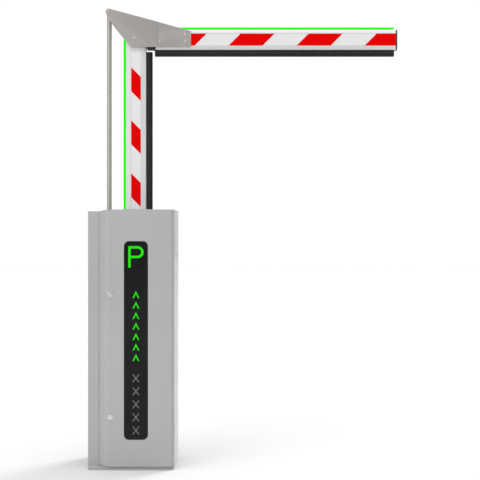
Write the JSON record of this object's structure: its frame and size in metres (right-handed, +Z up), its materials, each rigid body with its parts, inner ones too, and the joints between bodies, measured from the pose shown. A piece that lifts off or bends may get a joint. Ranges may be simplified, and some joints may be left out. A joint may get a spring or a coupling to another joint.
{
  "type": "parking barrier gate",
  "caption": "Parking barrier gate with a cabinet, a folding striped boom held level by a tie rod, and a lit sign in its door.",
  "frame": {"origin": "on the ground, at the middle of the four anchor holes under the cabinet", "axes": "+Z up, +X along the outer boom, -Y towards the door side, +Y towards the boom side"},
  "size_m": [1.2605, 0.38, 1.869],
  "materials": {
    "cabinet_paint": "light grey powder coat, satin, fine orange peel",
    "plinth": "mid grey powder coat, satin",
    "elbow_metal": "warm grey satin metallic paint",
    "boom_paint": "white powder-coated aluminium extrusion, satin",
    "red_film": "red reflective film, glossy",
    "lit_green": "lit green diffuser",
    "unlit_grey": "unlit grey diffuser",
    "sign_glass": "dark tinted acrylic window, glossy",
    "circuit_board": "green circuit board",
    "rubber": "black EPDM rubber, matte",
    "black_plastic": "black moulded plastic",
    "grey_plastic": "light grey moulded plastic",
    "white_plastic": "white moulded plastic",
    "green_plastic": "green moulded plastic",
    "red_plastic": "red moulded plastic",
    "lock_chrome": "nickel-chromed zinc, polished",
    "screws": "stainless steel, lightly brushed",
    "shaft_steel": "turned steel",
    "bearing_steel": "ground bearing steel",
    "spring_steel": "oiled black spring steel",
    "zinc_plate": "zinc-plated steel",
    "castings": "grey painted casting",
    "motor_paint": "dark blue-grey motor enamel",
    "aluminium_plain": "plain folded aluminium",
    "bronze": "machined bronze"
  },
  "bodies": {
    "cabinet": {"base_plate": "plinth", "cabinet_shell": "cabinet_paint", "top_hood": "cabinet_paint", "hood_screws": "screws", "mechanism_plate": "zinc_plate", "shaft_seal": "rubber", "bearing_housing": "castings", "shaft_bearings": "bearing_steel", "gearbox_housing": "castings", "gearbox_posts": "zinc_plate", "motor_housing": "motor_paint", "stop_bumpers": "rubber", "spring_anchor": "zinc_plate", "spring_adjusters": "screws", "balance_springs": "spring_steel", "balance_strap": "spring_steel", "limit_switches": "black_plastic", "tie_rod_stud": "shaft_steel", "equipment_panel": "zinc_plate", "control_box": "grey_plastic", "circuit_breakers": "white_plastic", "power_supply": "aluminium_plain", "terminal_blocks": "green_plastic", "hinge_leaves_fixed": "zinc_plate"},
    "door": {"door_panel": "cabinet_paint", "door_gasket": "rubber", "sign_window": "sign_glass", "sign_board": "circuit_board", "lit_symbols": "lit_green", "unlit_symbols": "unlit_grey", "hinge_leaves_door": "zinc_plate", "lock_barrels": "lock_chrome"},
    "upper_lock": {"upper_lock_cam": "lock_chrome"},
    "lower_lock": {"lower_lock_cam": "lock_chrome"},
    "arm": {"main_shaft": "shaft_steel", "worm_wheel": "bronze", "spring_quadrant": "castings", "arm_hub": "zinc_plate", "clamp_plate": "zinc_plate", "clamp_bolts": "screws", "lower_boom": "boom_paint", "lower_end_caps": "black_plastic", "lower_light_strip": "lit_green", "lower_rubber": "rubber", "lower_red_stripes": "red_film", "elbow_bush": "bronze"},
    "outer_arm": {"elbow_plates": "elbow_metal", "elbow_pins": "screws", "elbow_screws": "screws", "outer_boom": "boom_paint", "outer_end_caps": "black_plastic", "outer_light_strip": "lit_green", "outer_rubber": "rubber", "outer_red_stripes": "red_film", "stop_block": "rubber"},
    "rod": {"tie_rod": "elbow_metal"},
    "yoke": {"spring_yoke": "zinc_plate"},
    "rotor": {"worm_rotor": "shaft_steel", "hand_wheel": "red_plastic"}
  },
  "joints": [
    {"name": "arm_swing", "type": "hinge", "parent": "cabinet", "child": "arm", "pos_m": [-0.0136, 0, 0.88], "axis": [0, 1, 0], "range_deg": [0, 90]},
    {"name": "elbow_fold", "type": "hinge", "parent": "arm", "child": "outer_arm", "pos_m": [-0.0136, 0.1945, 1.746], "axis": [0, 1, 0], "range_deg": [-90, 0]},
    {"name": "tie_rod_swing", "type": "hinge", "parent": "cabinet", "child": "rod", "pos_m": [-0.1216, 0.1945, 0.99], "axis": [0, 1, 0], "range_deg": [0, 90]},
    {"name": "spring_travel", "type": "slide", "parent": "cabinet", "child": "yoke", "axis": [0, 0, 1], "range_m": [0, 0.125], "deforming": ["balance_springs", "balance_strap"]},
    {"name": "worm_turn", "type": "hinge", "parent": "cabinet", "child": "rotor", "pos_m": [0.0477, 0.034, 0.88], "axis": [0, 0, 1], "range_deg": [0, 2700]},
    {"name": "door_swing", "type": "hinge", "parent": "cabinet", "child": "door", "pos_m": [0.164, -0.115, 0.5], "axis": [0, 0, 1], "range_deg": [0, 90]},
    {"name": "upper_lock_turn", "type": "hinge", "parent": "door", "child": "upper_lock", "pos_m": [-0.0792, -0.15, 0.688], "axis": [0, 1, 0], "range_deg": [0, 90]},
    {"name": "lower_lock_turn", "type": "hinge", "parent": "door", "child": "lower_lock", "pos_m": [-0.0792, -0.15, 0.207], "axis": [0, 1, 0], "range_deg": [0, 90]}
  ],
  "couplings": [
    {"joint": "elbow_fold", "follows": "arm_swing", "ratio": -1},
    {"joint": "tie_rod_swing", "follows": "arm_swing", "ratio": 1},
    {"joint": "spring_travel", "follows": "arm_swing", "m_per_rad": 0.079},
    {"joint": "worm_turn", "follows": "arm_swing", "ratio": 30}
  ]
}
